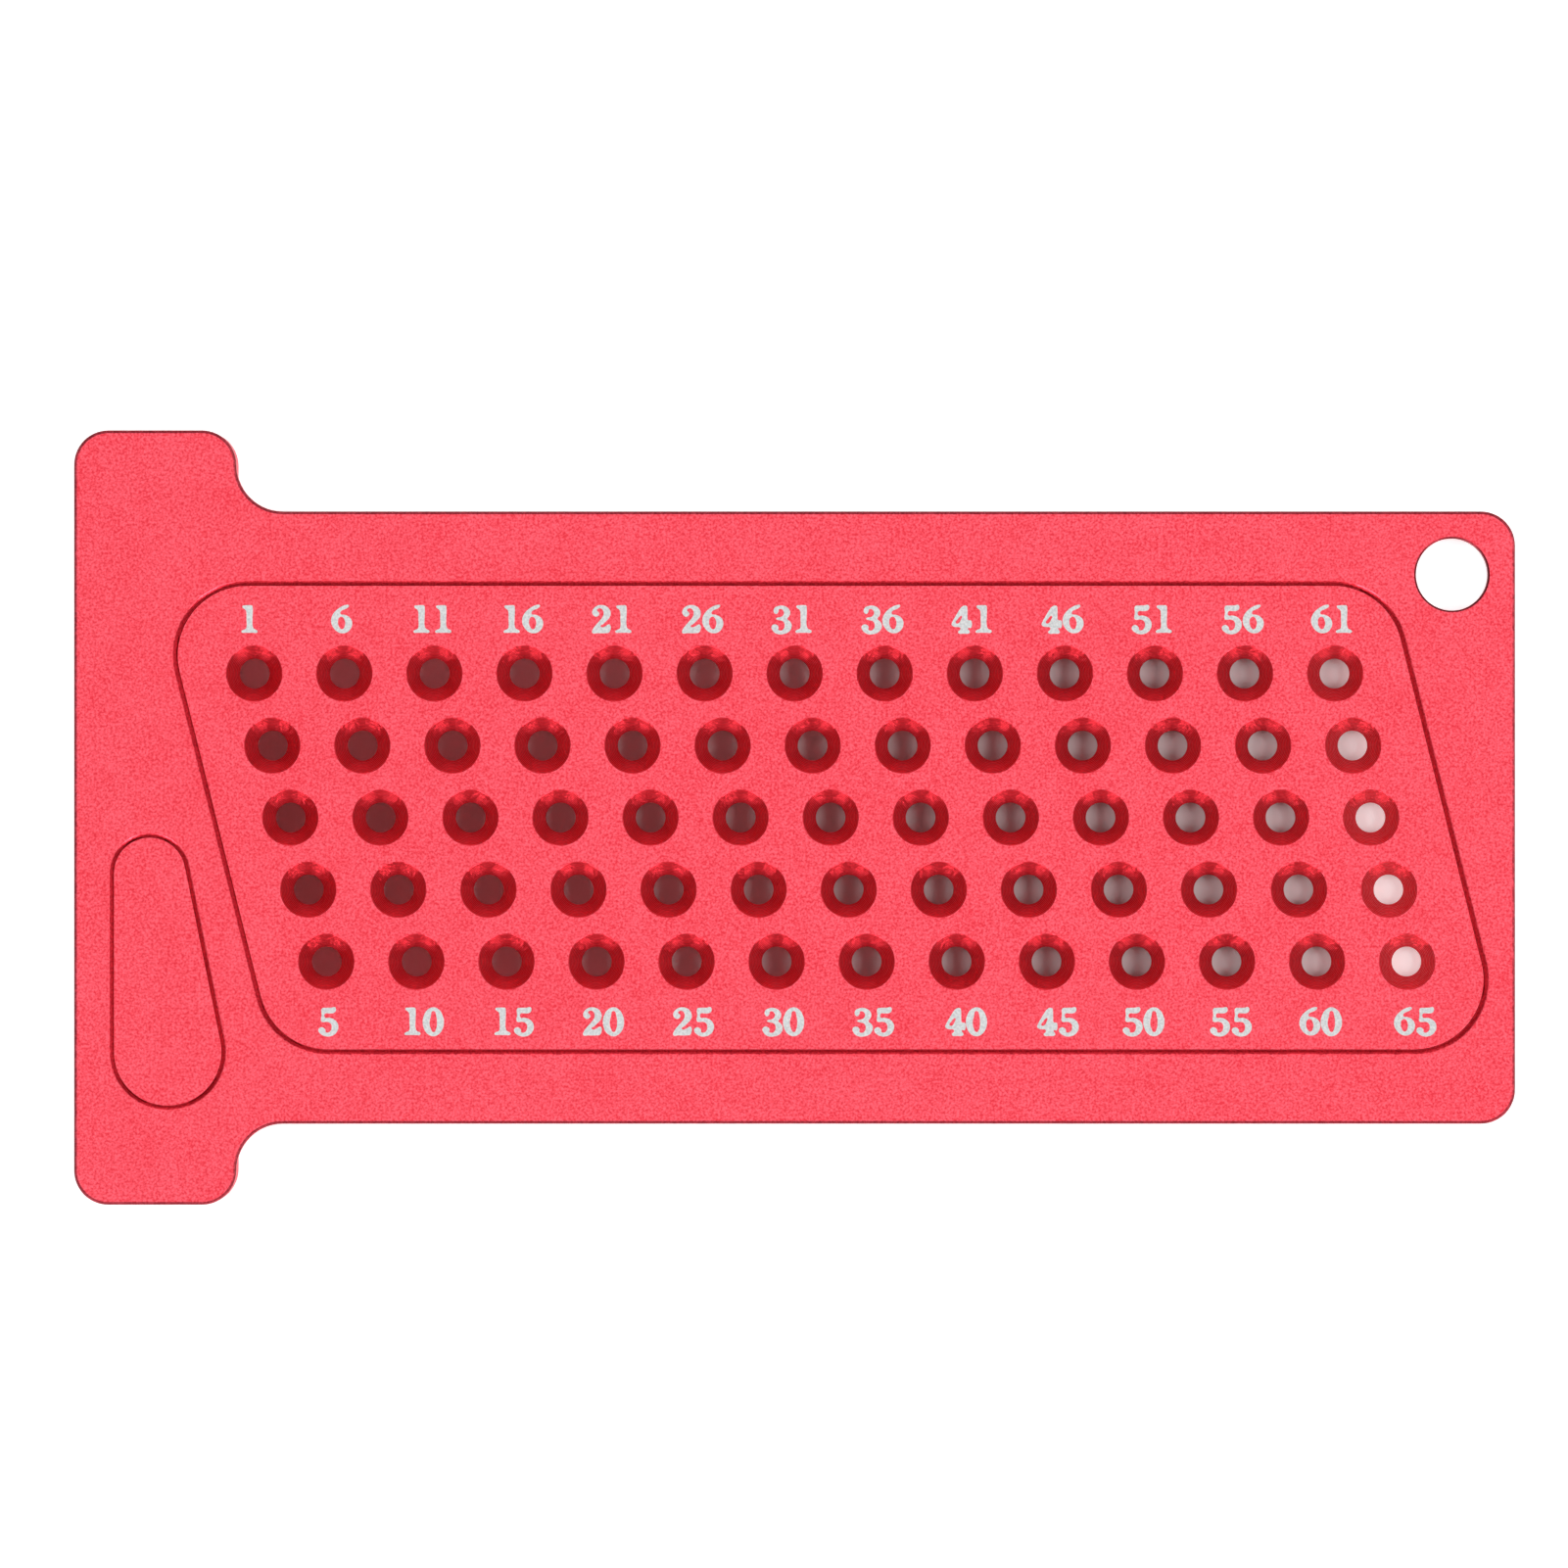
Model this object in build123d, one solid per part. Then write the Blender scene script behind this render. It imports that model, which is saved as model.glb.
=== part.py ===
"""Hole marking gauge, machined from one aluminium plate.

Tapered holes in a slanted field guide a pencil point. Each hole lies one step further from the fence
than the hole before it, so its number is its distance from the edge of the board. The board's edge
meets the fence, a lip under the cross head.

All sizes are in millimetres. The origin is where the fence's inner face, the centre line and the
blade's underside meet. X runs along the blade, Y across it, and Z up through the numbered face.
"""

import os
from math import acos, atan2, degrees, hypot, radians, tan, tau

from build123d import *

# Marking holes
hole_step = 1.0  # how much further from the fence each hole lies than the one before
row_count = 5
column_count = 13
row_pitch = 4.0
mouth_radius = 1.565  # of the taper at the top face
hole_radius = 0.825  # of the straight part that opens through the underside
straight_length = 0.7

# Plate
blade_thickness = 2.0
head_width = 9.0
fence_depth = 4.0  # how far the fence stands below the blade
wing_overhang = 4.5  # how far the head reaches past each long edge of the blade
corner_radius = 1.9
edge_break = 0.1

# Slanted frame engraved around the holes
frame_end_margin = 5.0  # from the first and the last row
frame_side_margin = 4.25  # from the first and the last column, along X
frame_corner_radius = 4.0
frame_groove_width = 0.38
long_border = 4.0  # from the frame to the blade's long edges
end_border = 1.62  # from the frame's tip to the blade's far end

# Teardrop panel engraved on the head
panel_inset = 2.1  # from the head's outer edge
panel_end_margin = 5.4  # from the head's lower end
panel_length = 15.1
panel_top_radius = 2.1
panel_bottom_radius = 3.1
panel_groove_width = 0.27

# Engraving cutter
cutter_tip_width = 0.08
cutter_flank = 45.0  # degrees from upright

# Hanging hole
hang_hole_radius = 2.0

# Places that follow from the sizes above
column_pitch = row_count * hole_step
field_half_height = row_pitch * (row_count - 1) / 2
lean = hole_step / row_pitch  # how far a column moves along X for each unit down Y
slant_factor = hypot(1, lean)  # a slanted strip's width along X, over its true width
first_column_x = hole_step * (row_count + 1) / 2  # where the column crosses the centre line
last_column_x = first_column_x + column_pitch * (column_count - 1)
frame_left_x = first_column_x - frame_side_margin
frame_right_x = last_column_x + frame_side_margin
frame_half_height = field_half_height + frame_end_margin
corner_centre_y = frame_half_height - frame_corner_radius
corner_inset_x = slant_factor * frame_corner_radius
frame_tip_x = frame_right_x + lean * corner_centre_y - corner_inset_x + frame_corner_radius
blade_length = frame_tip_x + end_border
blade_half_width = frame_half_height + long_border
head_half_length = blade_half_width + wing_overhang
wing_fillet_radius = wing_overhang - corner_radius  # the wing's two arcs run into each other


def gauge_outline():
    """Plan of head and blade: one half drawn from the head's outer edge, then mirrored."""
    with BuildSketch() as outline:
        with BuildLine():
            outer_edge = Line((-head_width, 0), (-head_width, head_half_length - corner_radius))
            outer_corner = JernArc(outer_edge @ 1, outer_edge % 1, corner_radius, -90)
            head_end = Line(outer_corner @ 1, (-corner_radius, head_half_length))
            wing_corner = JernArc(head_end @ 1, head_end % 1, corner_radius, -90)
            wing_fillet = JernArc(wing_corner @ 1, wing_corner % 1, wing_fillet_radius, 90)
            long_edge = Line(wing_fillet @ 1, (blade_length - corner_radius, blade_half_width))
            far_corner = JernArc(long_edge @ 1, long_edge % 1, corner_radius, -90)
            Line(far_corner @ 1, (blade_length, 0))
            mirror(about=Plane.XZ)
        make_face()
    return outline.sketch


def head_and_blade():
    """The flat plate, with the edge broken all round its top and underside."""
    plate = extrude(gauge_outline(), blade_thickness)
    return chamfer(plate.faces().filter_by(Axis.Z).edges(), edge_break)


def fence():
    """The lip under the head. It shares the head's outline and reaches half way up inside the plate."""
    bar = RectangleRounded(head_width, 2 * head_half_length, corner_radius)
    lip = extrude(Pos(-head_width / 2, 0, -fence_depth) * bar, fence_depth + blade_thickness / 2)
    return chamfer(lip.faces().sort_by(Axis.Z)[0].edges(), edge_break)


def hole_place(number):
    """Plan position of a hole. Numbers run down a column, then on to the top of the next."""
    row = (number - 1) % row_count
    return number * hole_step, field_half_height - row * row_pitch


def marking_hole():
    """Cutter for one marking hole: a straight part, and the taper that leads into it."""
    rising = (Align.CENTER, Align.CENTER, Align.MIN)
    straight = Cylinder(hole_radius, straight_length, align=rising)
    taper = Cone(hole_radius, mouth_radius, blade_thickness - straight_length, align=rising)
    return straight + Pos(0, 0, straight_length) * taper


def belt(circles):
    """Closed path stretched round circles listed anticlockwise, each as x, y and radius."""
    normals = []
    for (x, y, radius), (next_x, next_y, next_radius) in zip(circles, circles[1:] + circles[:1]):
        heading = atan2(next_y - y, next_x - x)
        spread = acos((radius - next_radius) / hypot(next_x - x, next_y - y))
        normals.append(heading - spread)
    arcs = []
    for (x, y, radius), arriving, leaving in zip(circles, normals[-1:] + normals, normals):
        arcs.append(CenterArc((x, y), radius, degrees(arriving), degrees((leaving - arriving) % tau)))
    sides = [Line(arc @ 1, next_arc @ 0) for arc, next_arc in zip(arcs, arcs[1:] + arcs[:1])]
    return Wire([edge for arc_and_side in zip(arcs, sides) for edge in arc_and_side])


def groove(path, width):
    """Cutter for a groove with sloped flanks that follows a path in the top face."""
    path = Pos(0, 0, blade_thickness) * path
    depth = (width - cutter_tip_width) / 2 / tan(radians(cutter_flank))
    brim = ((0, -width / 2), (0, width / 2))
    tip = ((-depth, cutter_tip_width / 2), (-depth, -cutter_tip_width / 2))
    upright = Plane(path @ 0, x_dir=(0, 0, 1), z_dir=path % 0)
    return sweep(upright * Polygon(*brim, *tip, align=None), path)


def frame_path():
    """The slanted frame, whose sides lean as the columns of holes do."""
    foot_left_x = frame_left_x + lean * corner_centre_y + corner_inset_x
    foot_right_x = frame_right_x + lean * corner_centre_y - corner_inset_x
    shift = 2 * lean * corner_centre_y
    centres = [
        (foot_left_x, -corner_centre_y),
        (foot_right_x, -corner_centre_y),
        (foot_right_x - shift, corner_centre_y),
        (foot_left_x - shift, corner_centre_y),
    ]
    return belt([(x, y, frame_corner_radius) for x, y in centres])


def panel_path():
    """The teardrop panel, whose two arcs touch one line along the head's outer edge."""
    side_x = -head_width + panel_inset
    bottom_y = -head_half_length + panel_end_margin + panel_bottom_radius
    top_y = bottom_y + panel_length - panel_bottom_radius - panel_top_radius
    bottom_arc = (side_x + panel_bottom_radius, bottom_y, panel_bottom_radius)
    top_arc = (side_x + panel_top_radius, top_y, panel_top_radius)
    return belt([bottom_arc, top_arc])


def hang_hole():
    """Cutter for the hanging hole, as far from the frame's side as from both edges of the blade."""
    corner_gap = blade_length + lean * blade_half_width - frame_right_x
    inset = corner_gap / (1 + lean + slant_factor)
    bore = Cylinder(hang_hole_radius, blade_thickness)
    rim = Cone(hang_hole_radius, hang_hole_radius + edge_break, edge_break)
    top_rim = Pos(0, 0, (blade_thickness - edge_break) / 2) * rim
    cutter = bore + top_rim + mirror(top_rim, Plane.XY)
    return Pos(blade_length - inset, blade_half_width - inset, blade_thickness / 2) * cutter


numbers = range(1, row_count * column_count + 1)
marking_holes = [Pos(*hole_place(number)) * marking_hole() for number in numbers]
grooves = [groove(frame_path(), frame_groove_width), groove(panel_path(), panel_groove_width)]
gauge_plate = head_and_blade() + fence() - [*grooves, *marking_holes, hang_hole()]

os.makedirs("parts", exist_ok=True)
export_step(gauge_plate, "parts/gauge_plate.step")
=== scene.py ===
from math import acos, atan2, cos, hypot, pi, radians, sin

import bmesh
import bpy
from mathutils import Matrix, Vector


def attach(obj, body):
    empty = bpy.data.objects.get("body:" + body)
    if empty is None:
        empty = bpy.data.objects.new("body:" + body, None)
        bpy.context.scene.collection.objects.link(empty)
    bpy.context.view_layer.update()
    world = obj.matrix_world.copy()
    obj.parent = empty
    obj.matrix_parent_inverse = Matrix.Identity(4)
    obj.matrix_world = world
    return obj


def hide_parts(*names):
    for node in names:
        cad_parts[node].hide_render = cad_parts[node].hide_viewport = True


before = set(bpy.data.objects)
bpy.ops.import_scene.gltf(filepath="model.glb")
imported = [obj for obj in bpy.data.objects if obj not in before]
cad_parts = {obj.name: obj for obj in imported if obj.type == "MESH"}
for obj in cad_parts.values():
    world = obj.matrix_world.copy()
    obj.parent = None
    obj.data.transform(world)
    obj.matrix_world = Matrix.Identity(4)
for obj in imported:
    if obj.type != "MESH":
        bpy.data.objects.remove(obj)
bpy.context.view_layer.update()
print("frame loaded")

millimetre = 0.001
weld = 0.0005  # points of a drawn outline that lie closer than this, in millimetres, are one
white = (1, 1, 1, 1)


# Handwork

def clearSelection():
    for thing in bpy.context.selected_objects:
        thing.select_set(False)


def takeInHand(thing, mode="OBJECT"):
    clearSelection()
    thing.select_set(True)
    bpy.context.view_layer.objects.active = thing
    bpy.ops.object.mode_set(mode=mode)


def selectParts(thing, kind, wanted):  # kind is verts, edges or faces, and wanted tests one of them
    modes = {"verts": {"VERT"}, "edges": {"EDGE"}, "faces": {"FACE"}}
    work = bmesh.from_edit_mesh(thing.data)
    work.select_mode = modes[kind]
    bpy.context.tool_settings.mesh_select_mode = [kind == name for name in modes]
    for part in [*work.verts, *work.edges, *work.faces]:
        part.select = False
    for part in list(getattr(work, kind)):
        if wanted(part):
            part.select_set(True)
    work.select_flush_mode()
    bmesh.update_edit_mesh(thing.data)


def selectAll(thing):
    selectParts(thing, "faces", lambda face: True)


def draw(offset):  # extrudes what is selected
    bpy.ops.mesh.extrude_region_move(TRANSFORM_OT_translate={"value": offset})


def middle(part):
    return sum((corner.co for corner in part.verts), Vector()) / len(part.verts)


def joinAll(things, name):
    clearSelection()
    for thing in things:
        thing.select_set(True)
    bpy.context.view_layer.objects.active = things[0]
    if len(things) > 1:
        bpy.ops.object.join()
    things[0].name = things[0].data.name = name
    return things[0]


def copyTo(thing, place):
    twin = thing.copy()
    twin.data = thing.data.copy()
    twin.location = place
    bpy.context.scene.collection.objects.link(twin)
    return twin


def cutAway(blank, cutter):  # the cut faces take the cutter's finish
    takeInHand(blank)
    cut = blank.modifiers.new("cut", "BOOLEAN")
    cut.object = cutter
    cut.operation = "DIFFERENCE"
    cut.solver = "EXACT"
    cut.material_mode = "TRANSFER"
    bpy.ops.object.modifier_apply(modifier=cut.name)
    bpy.data.objects.remove(cutter)


def curveToMesh(curve, material, height=0):
    takeInHand(curve)
    bpy.ops.object.convert(target="MESH")
    made = bpy.context.object
    takeInHand(made, "EDIT")
    selectAll(made)
    bpy.ops.mesh.remove_doubles(threshold=weld)
    bpy.ops.mesh.dissolve_degenerate(threshold=weld)
    bpy.ops.transform.translate(value=(0, 0, height))
    bpy.ops.mesh.normals_make_consistent(inside=False)
    bpy.ops.object.mode_set(mode="OBJECT")
    made.data.materials.clear()
    made.data.materials.append(material)
    return made


def toMetres(thing):
    takeInHand(thing)
    thing.scale = (millimetre, millimetre, millimetre)
    thing.location = thing.location * millimetre
    bpy.ops.object.transform_apply(location=True, rotation=True, scale=True)


# Finishes

def addNode(tree, kind, at, **settings):  # a setting is a socket's value where the node has such a socket
    node = tree.nodes.new(kind)
    node.location = at
    for setting, value in settings.items():
        if setting in node.inputs:
            node.inputs[setting].default_value = value
        else:
            setattr(node, setting, value)
    return node


def addRange(tree, at, old, new=(0.0, 1.0), **settings):  # maps the values from old's ends to new's ends
    node = addNode(tree, "ShaderNodeMapRange", at, **settings)
    for end, value in zip(("From Min", "From Max", "To Min", "To Max"), (*old, *new)):
        node.inputs[end].default_value = value
    return node


def newGroup(name, inputs, outputs):
    group = bpy.data.node_groups.new(name, "ShaderNodeTree")
    for label, kind, value in inputs:
        group.interface.new_socket(label, in_out="INPUT", socket_type=kind).default_value = value
    for label, kind in outputs:
        group.interface.new_socket(label, in_out="OUTPUT", socket_type=kind)
    return group, addNode(group, "NodeGroupInput", (-900, 0)), addNode(group, "NodeGroupOutput", (700, 0))


blasting = {
    "beads": 7600.0, "clouds": 420.0, "cloudShare": 0.15, "levels": (0.43, 0.72),
    "lift": 0.00008,  # noise is faint where a face lies at height 0
}


def makeBlastGrain():  # the fine even grain of bead blasting, over slow changes of shade
    group, given, result = newGroup(
        "blastGrain",
        [
            ("Hollow", "NodeSocketColor", (0.5, 0.5, 0.5, 1)),
            ("Crest", "NodeSocketColor", (0.9, 0.9, 0.9, 1)),
            ("Smoothest", "NodeSocketFloat", 0.4),
            ("Roughest", "NodeSocketFloat", 0.55),
        ],
        [("Color", "NodeSocketColor"), ("Roughness", "NodeSocketFloat"), ("Height", "NodeSocketFloat")],
    )
    place = addNode(group, "ShaderNodeTexCoord", (-1100, -300))
    raised = addNode(group, "ShaderNodeMapping", (-900, -300), Location=(0, 0, blasting["lift"]))
    beads = addNode(
        group, "ShaderNodeTexNoise", (-650, 0), Scale=blasting["beads"], Detail=2.0, Roughness=0.6,
    )
    clouds = addNode(
        group, "ShaderNodeTexNoise", (-650, -300), Scale=blasting["clouds"], Detail=3.0, Roughness=0.6,
    )
    both = addNode(group, "ShaderNodeMath", (-400, -150), operation="MULTIPLY_ADD")
    both.inputs[1].default_value = blasting["cloudShare"]
    level = addRange(group, (-150, -100), blasting["levels"])
    shade = addNode(group, "ShaderNodeMix", (150, 150), data_type="RGBA")
    gloss = addNode(group, "ShaderNodeMix", (150, -150), data_type="FLOAT")
    link = group.links.new
    link(place.outputs["Object"], raised.inputs["Vector"])
    link(raised.outputs["Vector"], beads.inputs["Vector"])
    link(raised.outputs["Vector"], clouds.inputs["Vector"])
    link(clouds.outputs["Fac"], both.inputs[0])
    link(beads.outputs["Fac"], both.inputs[2])
    link(both.outputs[0], level.inputs["Value"])
    link(level.outputs[0], shade.inputs["Factor"])
    link(given.outputs["Hollow"], shade.inputs["A"])
    link(given.outputs["Crest"], shade.inputs["B"])
    link(level.outputs[0], gloss.inputs["Factor"])
    link(given.outputs["Roughest"], gloss.inputs["A"])
    link(given.outputs["Smoothest"], gloss.inputs["B"])
    link(shade.outputs["Result"], result.inputs["Color"])
    link(gloss.outputs["Result"], result.inputs["Roughness"])
    link(beads.outputs["Fac"], result.inputs["Height"])
    return group


def makeToolRings():  # the fine rings that a turning cutter leaves, one above another
    group, given, result = newGroup(
        "toolRings",
        [("Pitch", "NodeSocketFloat", 9000.0), ("Wander", "NodeSocketFloat", 0.6)],
        [("Mask", "NodeSocketFloat")],
    )
    place = addNode(group, "ShaderNodeTexCoord", (-900, -300))
    rings = addNode(
        group, "ShaderNodeTexWave", (-300, 0), wave_type="BANDS", bands_direction="Z", Detail=2.0,
    )
    rings.inputs["Detail Scale"].default_value = 1.4
    link = group.links.new
    link(place.outputs["Object"], rings.inputs["Vector"])
    link(given.outputs["Pitch"], rings.inputs["Scale"])
    link(given.outputs["Wander"], rings.inputs["Distortion"])
    link(rings.outputs["Fac"], result.inputs["Mask"])
    return group


blastGrain = makeBlastGrain()
toolRings = makeToolRings()


def newMaterial(name, metallic=0.0):
    material = bpy.data.materials.new(name)
    material.use_nodes = True
    surface = material.node_tree.nodes["Principled BSDF"]
    surface.inputs["Metallic"].default_value = metallic
    return material, material.node_tree, surface


def makeBlasted(name, finish):
    material, tree, surface = newMaterial(name, finish["metallic"])
    grain = addNode(
        tree, "ShaderNodeGroup", (-500, 200), node_tree=blastGrain, Hollow=finish["hollow"],
        Crest=finish["crest"], Smoothest=finish["smoothest"], Roughest=finish["roughest"],
    )
    dents = addNode(tree, "ShaderNodeBump", (-250, -150), Strength=finish["dents"], Distance=finish["depth"])
    tree.links.new(grain.outputs["Color"], surface.inputs["Base Color"])
    tree.links.new(grain.outputs["Roughness"], surface.inputs["Roughness"])
    tree.links.new(grain.outputs["Height"], dents.inputs["Height"])
    tree.links.new(dents.outputs["Normal"], surface.inputs["Normal"])
    return material


def makeTurned(name, finish):  # tool rings, over coarser scars that break up a glint
    material, tree, surface = newMaterial(name, finish["metallic"])
    rings = addNode(
        tree, "ShaderNodeGroup", (-700, 100), node_tree=toolRings, Pitch=finish["pitch"],
        Wander=finish["wander"],
    )
    shade = addNode(tree, "ShaderNodeMix", (-450, 250), data_type="RGBA")
    shade.inputs["A"].default_value = finish["hollow"]
    shade.inputs["B"].default_value = finish["crest"]
    gloss = addRange(tree, (-450, 0), (0.0, 1.0), (finish["roughest"], finish["smoothest"]))
    place = addNode(tree, "ShaderNodeTexCoord", (-900, -300))
    scars = addNode(tree, "ShaderNodeTexNoise", (-700, -300), Scale=finish["scarScale"], Detail=2.0)
    dents = addNode(
        tree, "ShaderNodeBump", (-450, -350), Strength=finish["dents"], Distance=finish["scarDepth"],
    )
    ridges = addNode(
        tree, "ShaderNodeBump", (-250, -200), Strength=finish["dents"], Distance=finish["depth"],
    )
    tree.links.new(rings.outputs["Mask"], shade.inputs["Factor"])
    tree.links.new(rings.outputs["Mask"], gloss.inputs["Value"])
    tree.links.new(rings.outputs["Mask"], ridges.inputs["Height"])
    tree.links.new(shade.outputs["Result"], surface.inputs["Base Color"])
    tree.links.new(gloss.outputs[0], surface.inputs["Roughness"])
    tree.links.new(place.outputs["Object"], scars.inputs["Vector"])
    tree.links.new(scars.outputs["Fac"], dents.inputs["Height"])
    tree.links.new(dents.outputs["Normal"], ridges.inputs["Normal"])
    tree.links.new(ridges.outputs["Normal"], surface.inputs["Normal"])
    return material


blastedRed = {
    "hollow": (0.68, 0.031, 0.051, 1), "crest": (0.91, 0.119, 0.161, 1), "metallic": 0.88,
    "smoothest": 0.46, "roughest": 0.60, "dents": 0.8, "depth": 0.00002,
}
# the bevelled edges and the hang hole's wall get a red painted darker as shade, with worn nicks on it
edgeRedPaintedShade = {
    "hollow": (0.165, 0.012, 0.018, 1), "crest": (0.33, 0.033, 0.047, 1), "metallic": 0.95,
    "smoothest": 0.36, "roughest": 0.48, "dents": 0.4, "depth": 0.00001,
}
taperRed = {
    "hollow": (0.49, 0.014, 0.025, 1), "crest": (0.84, 0.048, 0.070, 1), "metallic": 0.92,
    "smoothest": 0.32, "roughest": 0.42, "dents": 1.0, "depth": 0.00001, "brushed": 0.8,
    "scarScale": 3600.0, "scarDepth": 0.000045, "pitch": 2200.0, "wander": 1.2,
}
# the engraved lines' red: a smoother cut finish, painted darker as the shade that falls in the grooves
grooveRedPaintedShade = {
    "hollow": (0.29, 0.007, 0.014, 1), "crest": (0.53, 0.020, 0.033, 1), "metallic": 0.94,
    "smoothest": 0.38, "roughest": 0.48, "dents": 0.5, "depth": 0.000015, "brushed": 0.6,
}
markingWhite = {
    "hollow": (0.68, 0.69, 0.70, 1), "crest": (0.92, 0.93, 0.93, 1), "metallic": 0.0,
    "smoothest": 0.6, "roughest": 0.8, "dents": 0.2, "depth": 0.00001,
}
redBlasted = makeBlasted("redBlasted", blastedRed)
redEdgePaintedShade = makeBlasted("redEdgePaintedShade", edgeRedPaintedShade)
redTaper = makeTurned("redTaper", taperRed)
redGroovePaintedShade = makeBlasted("redGroovePaintedShade", grooveRedPaintedShade)
whiteMarking = makeBlasted("whiteMarking", markingWhite)


def wearAt(material, patchLook):  # shows another colour where a noise passes its levels: worn metal on the edges, and the plate's red on the brims of the grooves above their painted shade
    tree = material.node_tree
    surface = tree.nodes["Principled BSDF"]
    under = surface.inputs["Base Color"].links[0].from_socket
    place = addNode(tree, "ShaderNodeTexCoord", (-1300, 500))
    noise = addNode(tree, "ShaderNodeTexNoise", (-1100, 500), Scale=patchLook["scale"], Detail=2.0)
    mask = addRange(tree, (-600, 500), patchLook["levels"], interpolation_type="SMOOTHSTEP")
    mixed = addNode(tree, "ShaderNodeMix", (-300, 500), data_type="RGBA")
    mixed.inputs["B"].default_value = patchLook["colour"]
    tree.links.new(place.outputs["Object"], noise.inputs["Vector"])
    height = noise.outputs["Fac"]
    if "band" in patchLook:  # the noise is raised with height, from nothing at the band's foot to one at its top
        split = addNode(tree, "ShaderNodeSeparateXYZ", (-1100, 300))
        rise = addRange(tree, (-900, 300), patchLook["band"])
        raised = addNode(tree, "ShaderNodeMath", (-750, 400), operation="ADD")
        tree.links.new(place.outputs["Object"], split.inputs[0])
        tree.links.new(split.outputs["Z"], rise.inputs["Value"])
        tree.links.new(rise.outputs[0], raised.inputs[0])
        tree.links.new(height, raised.inputs[1])
        height = raised.outputs[0]
    tree.links.new(height, mask.inputs["Value"])
    tree.links.new(mask.outputs[0], mixed.inputs["Factor"])
    tree.links.new(under, mixed.inputs["A"])
    tree.links.new(mixed.outputs["Result"], surface.inputs["Base Color"])


def brushAlong(material, strength):  # marks that run level along a wall spread a glint up and down it
    tree = material.node_tree
    surface = tree.nodes["Principled BSDF"]
    wall = addNode(tree, "ShaderNodeNewGeometry", (-700, -600))
    level = addNode(tree, "ShaderNodeVectorMath", (-450, -600), operation="MULTIPLY")
    level.inputs[1].default_value = (1, 1, 0)
    tree.links.new(wall.outputs["Normal"], level.inputs[0])
    tree.links.new(level.outputs["Vector"], surface.inputs["Tangent"])
    surface.inputs["Anisotropic"].default_value = strength


nicks = {"colour": (0.74, 0.50, 0.51, 1), "scale": 1000.0, "levels": (0.72, 0.77)}  # bare metal on the edges
# the plate's own red on a ragged band at each groove's top, lighter than the painted shade below it
unshadedBrims = {
    "colour": (0.83, 0.065, 0.095, 1), "scale": 6500.0, "levels": (1.15, 1.45), "band": (0.00190, 0.00199),
}
wearAt(redEdgePaintedShade, nicks)
wearAt(redGroovePaintedShade, unshadedBrims)
brushAlong(redTaper, taperRed["brushed"])
brushAlong(redGroovePaintedShade, grooveRedPaintedShade["brushed"])
print("finishes made")


# Plate: head and blade in one outline, with the fence under the head

plate = {
    "headWidth": 9.0, "bladeLength": 70.997, "bladeHalf": 17.0, "wingReach": 4.5, "thickness": 2.0,
    "fenceDepth": 4.0, "cornerRadius": 1.9, "arcSteps": 14, "edgeBreak": 0.16, "edgeSteps": 3,
    "smoothAngle": 12, "near": 0.01, "seam": 0.001, "weld": 0.002,
    "wallTilt": 0.1, "flatTilt": 0.9, "edgeTilt": 0.99,
}
headHalf = plate["bladeHalf"] + plate["wingReach"]


def makeBlank():
    near, bladeHalf = plate["near"], plate["bladeHalf"]
    clearSelection()
    bpy.ops.mesh.primitive_plane_add(size=1)
    blank = bpy.context.object
    takeInHand(blank, "EDIT")
    bpy.ops.transform.resize(value=(plate["headWidth"], 2 * bladeHalf, 1), center_override=(0, 0, 0))
    bpy.ops.transform.translate(value=(-plate["headWidth"] / 2, 0, 0))
    selectParts(blank, "edges", lambda edge: middle(edge).x > -near)
    draw((plate["bladeLength"], 0, 0))
    for side in (-1, 1):
        selectParts(
            blank, "edges",
            lambda edge: middle(edge).x < -near and middle(edge).y * side > bladeHalf - near,
        )
        draw((0, side * plate["wingReach"], 0))
    selectAll(blank)
    bpy.ops.mesh.dissolve_limited(angle_limit=radians(1))
    roundCorners(blank)
    selectParts(blank, "verts", lambda corner: abs(corner.co.x) < plate["seam"])
    bpy.ops.mesh.vert_connect()
    selectAll(blank)
    draw((0, 0, plate["thickness"]))
    selectAll(blank)
    bpy.ops.mesh.normals_make_consistent(inside=False)
    selectParts(blank, "faces", lambda face: face.normal.z < -plate["flatTilt"] and middle(face).x < 0)
    draw((0, 0, -plate["fenceDepth"]))
    selectAll(blank)
    bpy.ops.mesh.dissolve_limited(angle_limit=radians(1))
    breakEdges(blank)
    bpy.ops.object.mode_set(mode="OBJECT")
    return blank


def roundCorners(blank):  # the outer ones, then the two between head and blade, whose arcs meet the head's
    near, radius, segments = plate["near"], plate["cornerRadius"], plate["arcSteps"]
    innerTop = plate["bladeHalf"] + near
    selectParts(blank, "verts", lambda corner: abs(corner.co.y) > headHalf - near or corner.co.x > near)
    bpy.ops.mesh.bevel(offset=radius, segments=segments, affect="VERTICES")
    selectParts(blank, "verts", lambda corner: abs(corner.co.x) < near and abs(corner.co.y) < innerTop)
    bpy.ops.mesh.bevel(offset=plate["wingReach"] - radius, segments=segments, affect="VERTICES")
    selectAll(blank)
    bpy.ops.mesh.remove_doubles(threshold=plate["weld"])


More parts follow.
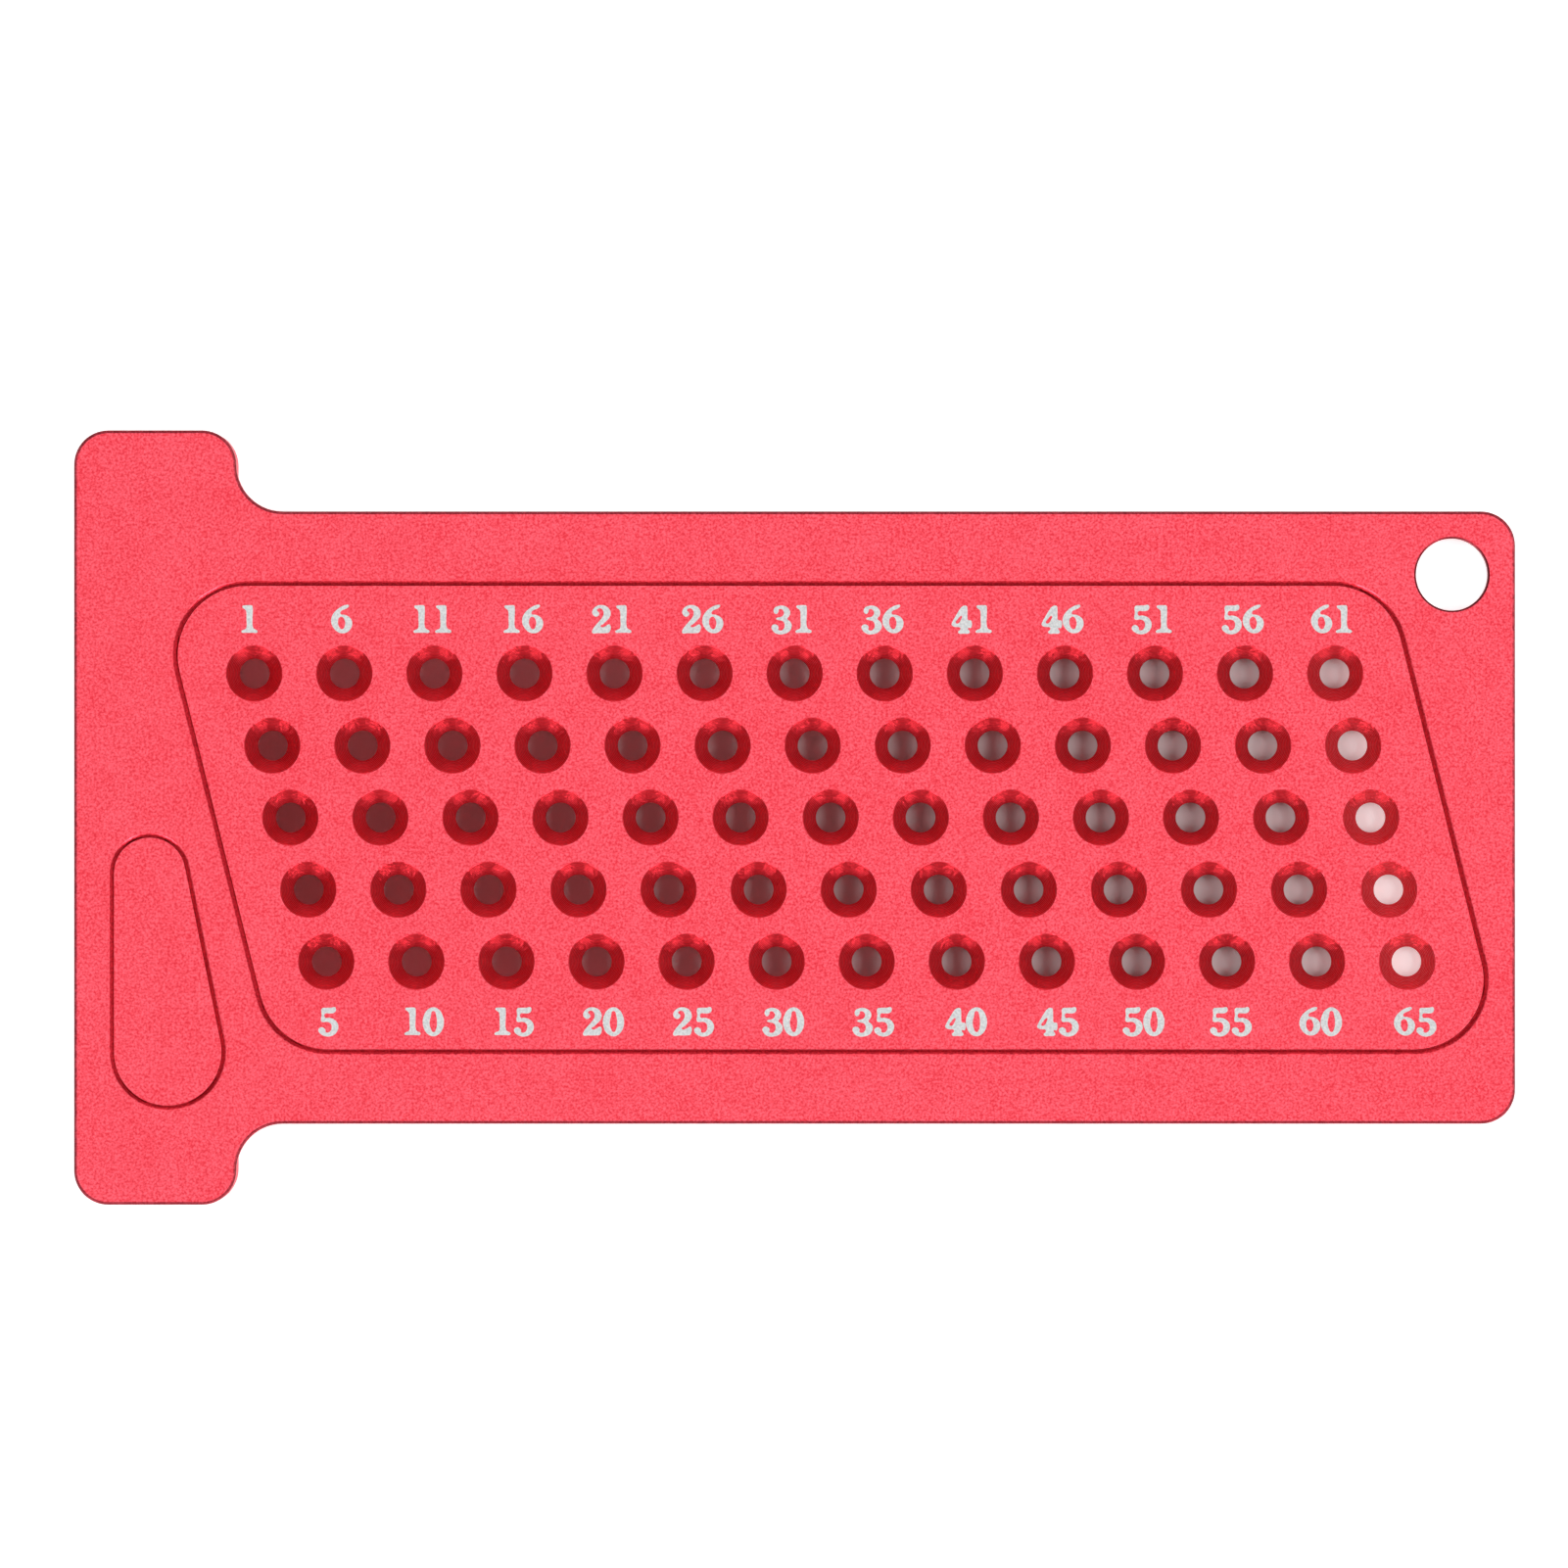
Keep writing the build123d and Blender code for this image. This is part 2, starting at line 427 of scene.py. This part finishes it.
def breakEdges(blank):  # the rims of the top, of the blade's underside and of the fence's foot
    def innerCorner(edge):
        return all(max(abs(corner.co.x), abs(corner.co.z)) < plate["seam"] for corner in edge.verts)

    def rim(edge):
        tilts = sorted(abs(face.normal.z) for face in edge.link_faces)
        between = len(tilts) == 2 and tilts[0] < plate["wallTilt"] and tilts[1] > plate["flatTilt"]
        return between and not innerCorner(edge)

    selectParts(blank, "edges", rim)
    bpy.ops.mesh.bevel(offset=plate["edgeBreak"], segments=plate["edgeSteps"], affect="EDGES")
    blank.data.materials.append(redBlasted)
    # the second slot holds the edges' red, painted darker as shade
    blank.data.materials.append(redEdgePaintedShade)
    blank.active_material_index = 1
    selectParts(blank, "faces", lambda face: plate["wallTilt"] < abs(face.normal.z) < plate["edgeTilt"])
    bpy.ops.object.material_slot_assign()


blank = makeBlank()
print("blank:", len(blank.data.polygons), "faces")


# Holes

holes = {
    "rows": 5, "columns": 13, "step": 1.0, "rowPitch": 4.0, "mouth": 1.565, "bore": 0.825, "straight": 0.7,
    "lip": 0.04, "rim": 0.05, "below": 0.2, "above": 0.1, "sides": 56,
}
hangHole = {"radius": 2.0, "place": (67.4907, 13.4938), "rim": 0.1, "past": 0.2, "sides": 80}
fieldHalf = holes["rowPitch"] * (holes["rows"] - 1) / 2


def turnedCutter(name, rings, sides, material):  # rings are radius and height, from the lowest up
    clearSelection()
    bpy.ops.mesh.primitive_circle_add(
        vertices=sides, radius=rings[0][0], fill_type="NGON", location=(0, 0, 0),
    )
    cutter = bpy.context.object
    cutter.name = name
    takeInHand(cutter, "EDIT")
    selectAll(cutter)
    bpy.ops.transform.translate(value=(0, 0, rings[0][1]))
    for (radius, height), (nextRadius, nextHeight) in zip(rings, rings[1:]):
        draw((0, 0, nextHeight - height))
        spread = nextRadius / radius
        bpy.ops.transform.resize(value=(spread, spread, 1), center_override=(0, 0, 0))
    selectAll(cutter)
    bpy.ops.mesh.normals_make_consistent(inside=False)
    bpy.ops.object.mode_set(mode="OBJECT")
    cutter.data.materials.append(material)
    return cutter


def holePlace(number):  # numbers run down a column, then on to the top of the next
    row = (number - 1) % holes["rows"]
    return Vector((number * holes["step"], fieldHalf - row * holes["rowPitch"], 0))


def makeHoleCutters():
    top, bore, mouth = plate["thickness"], holes["bore"], holes["mouth"]
    rim, lip = holes["rim"], holes["lip"]
    rings = [
        (bore + rim + holes["below"], -holes["below"]), (bore, rim), (bore, holes["straight"]),
        (mouth - lip, top - lip), (mouth, top), (mouth + holes["above"], top + holes["above"]),
    ]
    first = turnedCutter("holeCutter", rings, holes["sides"], redTaper)
    cutters = [first]
    for number in range(2, holes["rows"] * holes["columns"] + 1):
        cutters.append(copyTo(first, holePlace(number)))
    first.location = holePlace(1)
    return joinAll(cutters, "holeCutters")


def makeHangCutter():
    radius, rim, past, top = hangHole["radius"], hangHole["rim"], hangHole["past"], plate["thickness"]
    rings = [
        (radius + rim + past, -past), (radius, rim), (radius, top - rim), (radius + rim + past, top + past),
    ]
    # the hang hole's wall takes the edges' red, painted darker as shade
    cutter = turnedCutter("hangCutter", rings, hangHole["sides"], redEdgePaintedShade)
    cutter.location = (*hangHole["place"], 0)
    return cutter


cutAway(blank, makeHoleCutters())
cutAway(blank, makeHangCutter())
print("holes cut:", len(blank.data.polygons), "faces")


# Engraved lines

lines = {
    "frameSideMargin": 4.25, "frameEndMargin": 5.0, "frameRadius": 4.0, "frameWidth": 0.38,
    "panelCircles": [(-3.8, -13.0, 3.1), (-4.8, -3.1, 2.1)], "panelWidth": 0.33,
    "bendSteps": 16, "fewestSteps": 8, "over": 0.03, "tipHalf": 0.01,
}
section = {"outerBrim": -0.46, "foot": 0.16, "innerBrim": 0.36, "depth": 0.38}  # shares of a line's width


def beltPoints(circles):  # a closed path stretched round circles listed anticlockwise
    normals = []
    for (x, y, radius), (nextX, nextY, nextRadius) in zip(circles, circles[1:] + circles[:1]):
        heading = atan2(nextY - y, nextX - x)
        normals.append(heading - acos((radius - nextRadius) / hypot(nextX - x, nextY - y)))
    points = []
    for (x, y, radius), arriving, leaving in zip(circles, normals[-1:] + normals, normals):
        turn = (leaving - arriving) % (2 * pi)
        steps = max(lines["fewestSteps"], round(lines["bendSteps"] * turn / (pi / 2)))
        for step in range(steps + 1):
            angle = arriving + turn * step / steps
            points.append((x + radius * cos(angle), y + radius * sin(angle)))
    return points


def framePoints():  # the frame's ends lean as the columns of holes do, at an even distance from them
    lean, radius = holes["step"] / holes["rowPitch"], lines["frameRadius"]
    firstColumn = holes["step"] * (holes["rows"] + 1) / 2
    lastColumn = firstColumn + holes["step"] * holes["rows"] * (holes["columns"] - 1)
    inset = hypot(1, lean) * radius
    left = firstColumn - lines["frameSideMargin"] + inset
    right = lastColumn + lines["frameSideMargin"] - inset
    high = fieldHalf + lines["frameEndMargin"] - radius
    shift = lean * high
    lower = [(x + shift, -high, radius) for x in (left, right)]
    upper = [(x - shift, high, radius) for x in (right, left)]
    return beltPoints(lower + upper)


def newCurve(name, points):
    data = bpy.data.curves.new(name, "CURVE")
    spline = data.splines.new("POLY")
    spline.points.add(len(points) - 1)
    for point, (x, y) in zip(spline.points, points):
        point.co = (x, y, 0, 1)
    spline.use_cyclic_u = True
    thing = bpy.data.objects.new(name, data)
    bpy.context.scene.collection.objects.link(thing)
    return thing


def grooveCutter(name, points, width):  # a wide flank on the outer side, a steep one on the inner side
    outer, foot, inner, depth = [section[key] * width for key in ("outerBrim", "foot", "innerBrim", "depth")]
    outerSlope, innerSlope = (outer - foot) / depth, (inner - foot) / depth
    over, tip = lines["over"], lines["tipHalf"]
    profile = newCurve(name + "Section", [
        (outer + outerSlope * over, over), (foot - tip, -depth),
        (foot + tip, -depth), (inner + innerSlope * over, over),
    ])
    path = newCurve(name, points)
    path.data.dimensions = "2D"
    path.data.fill_mode = "NONE"
    path.data.bevel_mode = "OBJECT"
    path.data.bevel_object = profile
    cutter = curveToMesh(path, redGroovePaintedShade, plate["thickness"])
    bpy.data.objects.remove(profile)
    return cutter


cutAway(blank, grooveCutter("frameGroove", framePoints(), lines["frameWidth"]))
cutAway(blank, grooveCutter("panelGroove", beltPoints(lines["panelCircles"]), lines["panelWidth"]))
print("lines engraved:", len(blank.data.polygons), "faces")

toMetres(blank)
bpy.ops.object.shade_smooth_by_angle(angle=radians(plate["smoothAngle"]))
blank.name = blank.data.name = "plate"
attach(blank, "root")
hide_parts("gauge_plate")
print("plate done")


# Numbers: each digit is drawn once, and copied to its places

digits = {
    "advance": 1.205, "sunk": 0.01, "proud": 0.015, "thinner": 0.018, "perMillimetre": 100, "curveSteps": 4,
}
outlines = {  # each digit's outline and then its counter, in hundredths of a millimetre from its foot
    "0": [
        [
            (-1, 162), (32, 148), (54, 112), (60, 80), (54, 44), (32, 10), (-1, -3), (-34, 10), (-56, 44),
            (-62, 80), (-56, 112), (-34, 148),
        ],
        [(-1, 138), (-13, 108), (-20, 74), (-13, 42), (0, 24), (13, 42), (17, 74), (14, 108)],
    ],
    "1": [
        [
            (-43, 14), (-39, 5), (-20, 4), (20, 4), (46, 5), (51, 14), (46, 22), (30, 30), (24, 42), (23, 90),
            (24, 140), (20, 158), (5, 161), (-20, 160), (-34, 158), (-38, 149), (-32, 141), (-19, 131),
            (-15, 115), (-15, 80), (-14, 42), (-18, 30), (-32, 24),
        ],
    ],
    "2": [
        [
            (-51, 118), (-48, 133), (-30, 153), (-3, 162), (29, 156), (49, 138), (56, 118), (51, 92),
            (32, 70), (13, 52), (0, 43), (3, 39), (22, 43), (38, 53), (46, 55), (54, 48), (57, 36),
            (54, 20), (45, 5), (30, 2), (-20, 2), (-48, 2), (-52, 10), (-46, 28), (-30, 50), (-7, 76),
            (8, 96), (13, 115), (8, 131), (-5, 140), (-17, 136), (-20, 131), (-12, 122), (-7, 112),
            (-13, 99), (-28, 93), (-42, 100), (-49, 109),
        ],
    ],
    "3": [
        [
            (-44, 128), (-37, 146), (-17, 156), (4, 159), (31, 151), (49, 133), (53, 115), (46, 96), (37, 83),
            (48, 73), (59, 58), (61, 44), (56, 24), (38, 5), (15, -3), (-11, -5), (-37, 5), (-51, 21),
            (-56, 37), (-46, 52), (-30, 54), (-17, 47), (-12, 34), (-14, 25), (-1, 20), (12, 28), (18, 44),
            (15, 60), (5, 70), (-17, 75), (-30, 83), (-24, 91), (-7, 94), (7, 101), (14, 114), (10, 128),
            (-1, 136), (-11, 134), (-12, 126), (-17, 115), (-27, 108), (-39, 114),
        ],
    ],
    "4": [
        [
            (18, 159), (32, 155), (36, 140), (37, 98), (40, 78), (55, 76), (61, 62), (60, 42), (54, 30),
            (40, 30), (48, 16), (48, 4), (14, -1), (-16, 2), (-19, 13), (-7, 25), (-8, 33), (-25, 36),
            (-44, 39), (-56, 52), (-52, 65), (-34, 98), (-15, 130), (1, 151),
        ],
        [(0, 98), (-7, 94), (-17, 81), (-29, 64), (-26, 59), (-13, 63), (-4, 78)],
    ],
    "5": [
        [
            (-36, 155), (-16, 159), (17, 160), (38, 163), (45, 155), (43, 136), (30, 126), (4, 124),
            (-14, 124), (-19, 114), (-14, 103), (4, 104), (33, 95), (53, 75), (59, 52), (54, 29), (36, 7),
            (14, -3), (-16, -3), (-42, 10), (-55, 28), (-51, 44), (-35, 51), (-19, 44), (-12, 33), (-12, 24),
            (-3, 21), (12, 29), (18, 49), (14, 67), (-3, 77), (-34, 77), (-40, 83), (-38, 117),
        ],
    ],
    "6": [
        [
            (22, 162), (40, 162), (43, 154), (32, 141), (13, 132), (-2, 124), (-4, 112), (16, 108), (42, 96),
            (58, 75), (61, 55), (55, 33), (35, 9), (6, 1), (-23, 9), (-47, 33), (-59, 59), (-59, 85),
            (-49, 111), (-30, 133), (-4, 152),
        ],
        [(1, 93), (-12, 88), (-18, 72), (-12, 40), (3, 27), (17, 49), (16, 72)],
    ],
}
labels = {
    "rows": [
        {"first": 1, "height": 10.2, "shift": -0.15},
        {"first": 5, "height": -12.13, "shift": 0.35},
    ],
    "strays": {1: -0.15, 5: -0.25, 40: 0.15, 45: 0.25, 55: -0.15, 60: -0.15, 65: 0.1},  # off the row's shift
}


def makeDigit(figure):
    data = bpy.data.curves.new("digit" + figure, "CURVE")
    data.dimensions = "2D"
    data.fill_mode = "BOTH"
    data.resolution_u = digits["curveSteps"]
    data.extrude = (digits["sunk"] + digits["proud"]) / 2
    data.offset = -digits["thinner"]
    for outline in outlines[figure]:
        spline = data.splines.new("BEZIER")
        spline.bezier_points.add(len(outline) - 1)
        for point, (x, y) in zip(spline.bezier_points, outline):
            point.co = (x / digits["perMillimetre"], y / digits["perMillimetre"], 0)
            point.handle_left_type = point.handle_right_type = "AUTO"
        spline.use_cyclic_u = True
    digit = bpy.data.objects.new("digit" + figure, data)
    bpy.context.scene.collection.objects.link(digit)
    return curveToMesh(digit, whiteMarking)


def placeNumber(number, x, y):
    figures = str(number)
    level = plate["thickness"] + (digits["proud"] - digits["sunk"]) / 2
    parts = []
    for index, figure in enumerate(figures):
        offset = (index - (len(figures) - 1) / 2) * digits["advance"]
        parts.append(copyTo(drawn[figure], (x + offset, y, level)))
    piece = joinAll(parts, f"number_{number}")
    bpy.ops.object.transform_apply(location=True)
    toMetres(piece)
    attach(piece, "root")


drawn = {figure: makeDigit(figure) for figure in outlines}
for row in labels["rows"]:
    for number in range(row["first"], holes["rows"] * holes["columns"] + 1, holes["rows"]):
        stray = labels["strays"].get(number, 0)
        placeNumber(number, number * holes["step"] + row["shift"] + stray, row["height"])
for digit in drawn.values():
    bpy.data.objects.remove(digit)
print("numbers placed")


# Floor, light and camera

studio = {
    "floorSize": 4.0, "floorShade": (0.95, 0.95, 0.95, 1), "floorGlow": 0.72,
    # the floor under the blade's thin end keeps part of its glow, as painted light
    "coverEdge": (-0.0001, -0.0012), "holeGlow": 0.0038, "paintedLightGap": (0.0605, 0.0635), "coverUnderPaintedLight": 0.62,
    "zenith": 0.325, "dimHorizon": 0.017, "brightHorizon": 0.42, "brightSide": (0.7, 0.7, 0),
    "skyRise": (0.1, 0.9),
    "keys": {"turns": (0, 180), "powers": (1.21, 0.67), "rise": 59, "spread": 26},
    "fronts": {"turns": (-60, -120), "powers": (2.17, 2.17), "rise": 22, "spread": 22},
    "fills": {"turns": (90, -90), "powers": (0.83, 0.75), "rise": 35, "spread": 50},
}
view = {
    "aim": (0.03041, 0.001865), "distance": 1.27, "frameWidth": 0.08704, "sensor": 36.0, "clipEnd": 20,
}


def makeFloor():  # it leans, because the gauge rests on its fence and on the far end of its blade
    clearSelection()
    bpy.ops.mesh.primitive_plane_add(size=studio["floorSize"])
    floor = bpy.context.object
    floor.name = "floor"
    takeInHand(floor, "EDIT")
    selectAll(floor)
    tilt = atan2(plate["fenceDepth"], plate["bladeLength"])
    bpy.ops.transform.rotate(value=tilt, orient_axis="Y", center_override=(0, 0, 0))
    bpy.ops.transform.translate(value=(0, 0, -plate["fenceDepth"] * millimetre))
    bpy.ops.object.mode_set(mode="OBJECT")
    material, tree, surface = newMaterial("paleFloor")
    surface.inputs["Base Color"].default_value = studio["floorShade"]
    surface.inputs["Roughness"].default_value = 1.0
    surface.inputs["Specular IOR Level"].default_value = 0.0
    surface.inputs["Emission Color"].default_value = white
    tree.links.new(openFloorGlow(tree), surface.inputs["Emission Strength"])
    floor.data.materials.append(material)


def openFloorGlow(tree):  # whitens the open floor in pictures, and paints light on the floor under the blade's thin end
    place = addNode(tree, "ShaderNodeTexCoord", (-1500, -300)).outputs["Object"]

    def feed(node, values):  # a value is a number, a vector or another node's output
        for socket, value in zip(node.inputs, values):
            if isinstance(value, (int, float, tuple)):
                socket.default_value = value
            else:
                tree.links.new(value, socket)

    def maths(operation, *values, clamp=True):
        node = addNode(tree, "ShaderNodeMath", (-600, -300), operation=operation, use_clamp=clamp)
        feed(node, values)
        return node.outputs[0]

    def vectors(operation, *values):
        node = addNode(tree, "ShaderNodeVectorMath", (-1200, -300), operation=operation)
        feed(node, values)
        return node.outputs["Value" if operation == "DISTANCE" else "Vector"]

    def axes(vector):
        node = addNode(tree, "ShaderNodeSeparateXYZ", (-900, -300))
        tree.links.new(vector, node.inputs[0])
        return node.outputs

    def smoothly(value, old, new=(0.0, 1.0)):
        node = addRange(tree, (-600, -100), old, new, interpolation_type="SMOOTHSTEP")
        tree.links.new(value, node.inputs["Value"])
        return node.outputs[0]

    blade, head = plate["bladeLength"], plate["headWidth"]
    patches = [((blade - head) / 2, (blade + head) / 2, plate["bladeHalf"]), (-head / 2, head / 2, headHalf)]
    covered = 0.0
    for centre, halfX, halfY in patches:
        off = vectors("ABSOLUTE", vectors("SUBTRACT", place, (centre * millimetre, 0, 0)))
        over = axes(vectors("SUBTRACT", off, (halfX * millimetre, halfY * millimetre, 1)))
        furthest = maths("MAXIMUM", over["X"], over["Y"], clamp=False)
        covered = maths("MAXIMUM", smoothly(furthest, studio["coverEdge"]), covered)
    # painted light: from the thin gap on, part of the floor's glow comes back under the blade's end
    coverLessPaintedLight = smoothly(axes(place)["X"], studio["paintedLightGap"], (1.0, studio["coverUnderPaintedLight"]))
    covered = maths("MULTIPLY", covered, coverLessPaintedLight)
    hangX, hangY = hangHole["place"]
    fromHole = vectors("DISTANCE", place, (hangX * millimetre, hangY * millimetre, 0))
    pastHole = maths("GREATER_THAN", fromHole, studio["holeGlow"])
    glowShare = maths("SUBTRACT", 1.0, maths("MULTIPLY", covered, pastHole))
    path = addNode(tree, "ShaderNodeLightPath", (-900, -900)).outputs
    seen = maths("ADD", path["Is Camera Ray"], path["Is Glossy Ray"])
    seen = maths("ADD", seen, path["Is Transmission Ray"])
    return maths("MULTIPLY", maths("MULTIPLY", glowShare, seen), studio["floorGlow"])


def makeSky():  # brighter on one side than on the other along the horizon, and even overhead
    world = bpy.data.worlds.new("studio")
    bpy.context.scene.world = world
    world.use_nodes = True
    tree = world.node_tree
    sky = tree.nodes["Background"]
    place = addNode(tree, "ShaderNodeTexCoord", (-900, 0))
    split = addNode(tree, "ShaderNodeSeparateXYZ", (-700, 0))
    turned = addNode(tree, "ShaderNodeVectorMath", (-700, 200), operation="DOT_PRODUCT")
    turned.inputs[1].default_value = studio["brightSide"]
    side = addRange(tree, (-500, 200), (-1.0, 1.0), (studio["dimHorizon"], studio["brightHorizon"]))
    rise = addRange(
        tree, (-300, 0), studio["skyRise"], (0.0, studio["zenith"]), interpolation_type="SMOOTHSTEP",
    )
    tree.links.new(place.outputs["Generated"], split.inputs[0])
    tree.links.new(place.outputs["Generated"], turned.inputs[0])
    tree.links.new(turned.outputs["Value"], side.inputs["Value"])
    tree.links.new(split.outputs["Z"], rise.inputs["Value"])
    tree.links.new(side.outputs[0], rise.inputs["To Min"])
    tree.links.new(rise.outputs[0], sky.inputs["Strength"])
    sky.inputs["Color"].default_value = white


def makeLamp(name, turn, rise, spread, power):  # turn, rise and spread in degrees
    data = bpy.data.lights.new(name, "SUN")
    data.energy = power
    data.angle = radians(spread)
    lamp = bpy.data.objects.new(name, data)
    bpy.context.scene.collection.objects.link(lamp)
    lamp.rotation_euler = (radians(90 - rise), 0, radians(turn + 90))
    return lamp


def makeCamera():
    data = bpy.data.cameras.new("overhead")
    data.sensor_width = view["sensor"]
    data.lens = view["sensor"] * view["distance"] / view["frameWidth"]
    data.clip_end = view["clipEnd"]
    camera = bpy.data.objects.new("overhead", data)
    bpy.context.scene.collection.objects.link(camera)
    camera.location = (*view["aim"], view["distance"] + plate["thickness"] * millimetre)
    bpy.context.scene.camera = camera


makeFloor()
makeSky()
for kind in ("keys", "fronts", "fills"):
    lamps = studio[kind]
    for turn, power in zip(lamps["turns"], lamps["powers"]):
        lamp = makeLamp(f"{kind}{turn}", turn, lamps["rise"], lamps["spread"], power)
        lamp.visible_diffuse = kind == "keys"  # the others give glints only
makeCamera()
bpy.context.scene.view_settings.view_transform = "Standard"
print("studio set")
